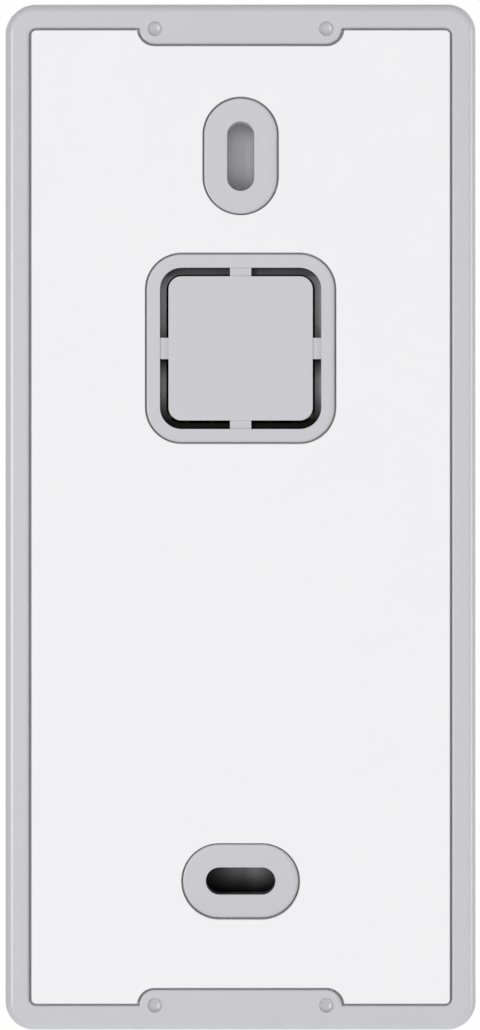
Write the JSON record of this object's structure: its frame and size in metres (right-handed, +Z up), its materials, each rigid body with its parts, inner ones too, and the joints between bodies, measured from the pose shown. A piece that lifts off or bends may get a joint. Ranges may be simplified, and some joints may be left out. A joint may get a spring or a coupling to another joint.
{
  "type": "video doorbell",
  "caption": "Wall-mounted video doorbell: a slotted mounting plate with adhesive pad and knock-out, and a unit with camera, sprung push button and speaker that tilts off it.",
  "frame": {"origin": "centre of the adhesive pad's rear face, which meets the wall", "axes": "+Z up along the body's length, +Y out of the back towards the wall, -Y out of the front, +X to the right for a visitor facing the front"},
  "size_m": [0.061, 0.025, 0.1332],
  "materials": {
    "light_plastic": "fine satin moulded",
    "pad_foam": "smooth white closed-cell foam",
    "rubber": "matt",
    "black_plastic": "matt moulded",
    "spring_steel": "satin",
    "screw_steel": "zinc plated",
    "brass": "satin",
    "board": "solder mask",
    "battery_wrap": "shrink film",
    "antenna_film": "amber film",
    "panel_gloss": "polished",
    "clear_glass": "polished",
    "chip": "polished",
    "pir_milk": "milky satin",
    "light_guide": "frosted",
    "button_plastic": "satin",
    "stem_plastic": "satin",
    "cone_film": "satin film",
    "ir_lamp": "moulded dome",
    "white_lamp": "moulded"
  },
  "bodies": {
    "wall_plate": {"mounting_plate": "light_plastic", "adhesive_pad": "pad_foam", "snap_clip": "spring_steel"},
    "doorbell_unit": {"rear_case": "light_plastic", "front_cover": "light_plastic", "case_seal": "rubber", "case_screw_top_left": "screw_steel", "case_screw_top_right": "screw_steel", "case_screw_bottom_left": "screw_steel", "case_screw_bottom_right": "screw_steel", "main_board": "board", "board_screw_top_left": "screw_steel", "board_screw_top_right": "screw_steel", "board_screw_bottom_left": "screw_steel", "board_screw_bottom_right": "screw_steel", "battery_pack": "battery_wrap", "shield_can": "spring_steel", "wifi_antenna": "antenna_film", "lens_panel": "panel_gloss", "lens_window": "clear_glass", "lens_barrel": "black_plastic", "front_lens": "clear_glass", "lens_holder": "black_plastic", "image_sensor": "chip", "ir_led_left": "ir_lamp", "ir_led_right": "ir_lamp", "pir_lens": "pir_milk", "pir_sensor": "spring_steel", "light_ring": "light_guide", "ring_led_top": "white_lamp", "ring_led_bottom": "white_lamp", "ring_led_left": "white_lamp", "ring_led_right": "white_lamp", "button_spring": "spring_steel", "switch_body": "black_plastic", "speaker_gasket": "rubber", "speaker_frame": "black_plastic", "speaker_cone": "cone_film", "microphone": "spring_steel", "mic_boot": "rubber", "usb_port": "spring_steel", "reset_switch": "black_plastic", "terminal_block": "black_plastic", "terminal_plate_left": "brass", "terminal_plate_right": "brass"},
    "button": {"button_cap": "button_plastic"},
    "stem": {"switch_stem": "stem_plastic"},
    "reset": {"reset_button": "rubber"},
    "flap": {"port_cover": "rubber"},
    "washer_left": {"clamp_washer_left": "screw_steel"},
    "screw_left": {"terminal_screw_left": "screw_steel"},
    "washer_right": {"clamp_washer_right": "screw_steel"},
    "screw_right": {"terminal_screw_right": "screw_steel"}
  },
  "joints": [
    {"name": "unit_tilt", "type": "hinge", "parent": "wall_plate", "child": "doorbell_unit", "pos_m": [0, -0.003, 0.0663], "axis": [-1, 0, 0], "range_deg": [0, 28], "deforming": ["snap_clip"]},
    {"name": "button_press", "type": "slide", "parent": "doorbell_unit", "child": "button", "axis": [0, 1, 0], "range_m": [0, 0.0005], "stiffness_N_per_m": 2500, "springref_m": -0.0003, "deforming": ["button_spring"]},
    {"name": "stem_press", "type": "slide", "parent": "doorbell_unit", "child": "stem", "axis": [0, 1, 0], "range_m": [0, 0.0005]},
    {"name": "reset_press", "type": "slide", "parent": "doorbell_unit", "child": "reset", "axis": [0, 0, 1], "range_m": [0, 0.0004], "stiffness_N_per_m": 1500, "springref_m": -0.0003},
    {"name": "flap_swing", "type": "hinge", "parent": "doorbell_unit", "child": "flap", "pos_m": [0.0145, -0.0143, -0.0666], "axis": [1, 0, 0], "range_deg": [0, 95], "stiffness_Nm_per_rad": 0.002, "springref_deg": -5.73},
    {"name": "washer_left_travel", "type": "slide", "parent": "doorbell_unit", "child": "washer_left", "axis": [0, 1, 0], "range_m": [0, 0.0013]},
    {"name": "screw_left_turn", "type": "hinge", "parent": "washer_left", "child": "screw_left", "pos_m": [-0.0055, -0.008, 0.0148], "axis": [0, 1, 0], "range_deg": [0, 936]},
    {"name": "washer_right_travel", "type": "slide", "parent": "doorbell_unit", "child": "washer_right", "axis": [0, 1, 0], "range_m": [0, 0.0013]},
    {"name": "screw_right_turn", "type": "hinge", "parent": "washer_right", "child": "screw_right", "pos_m": [0.0055, -0.008, 0.0148], "axis": [0, 1, 0], "range_deg": [0, 936]}
  ],
  "couplings": [
    {"joint": "stem_press", "follows": "button_press", "ratio": 1},
    {"joint": "screw_left_turn", "follows": "washer_left_travel", "rad_per_m": 12566},
    {"joint": "screw_right_turn", "follows": "washer_right_travel", "rad_per_m": 12566}
  ]
}
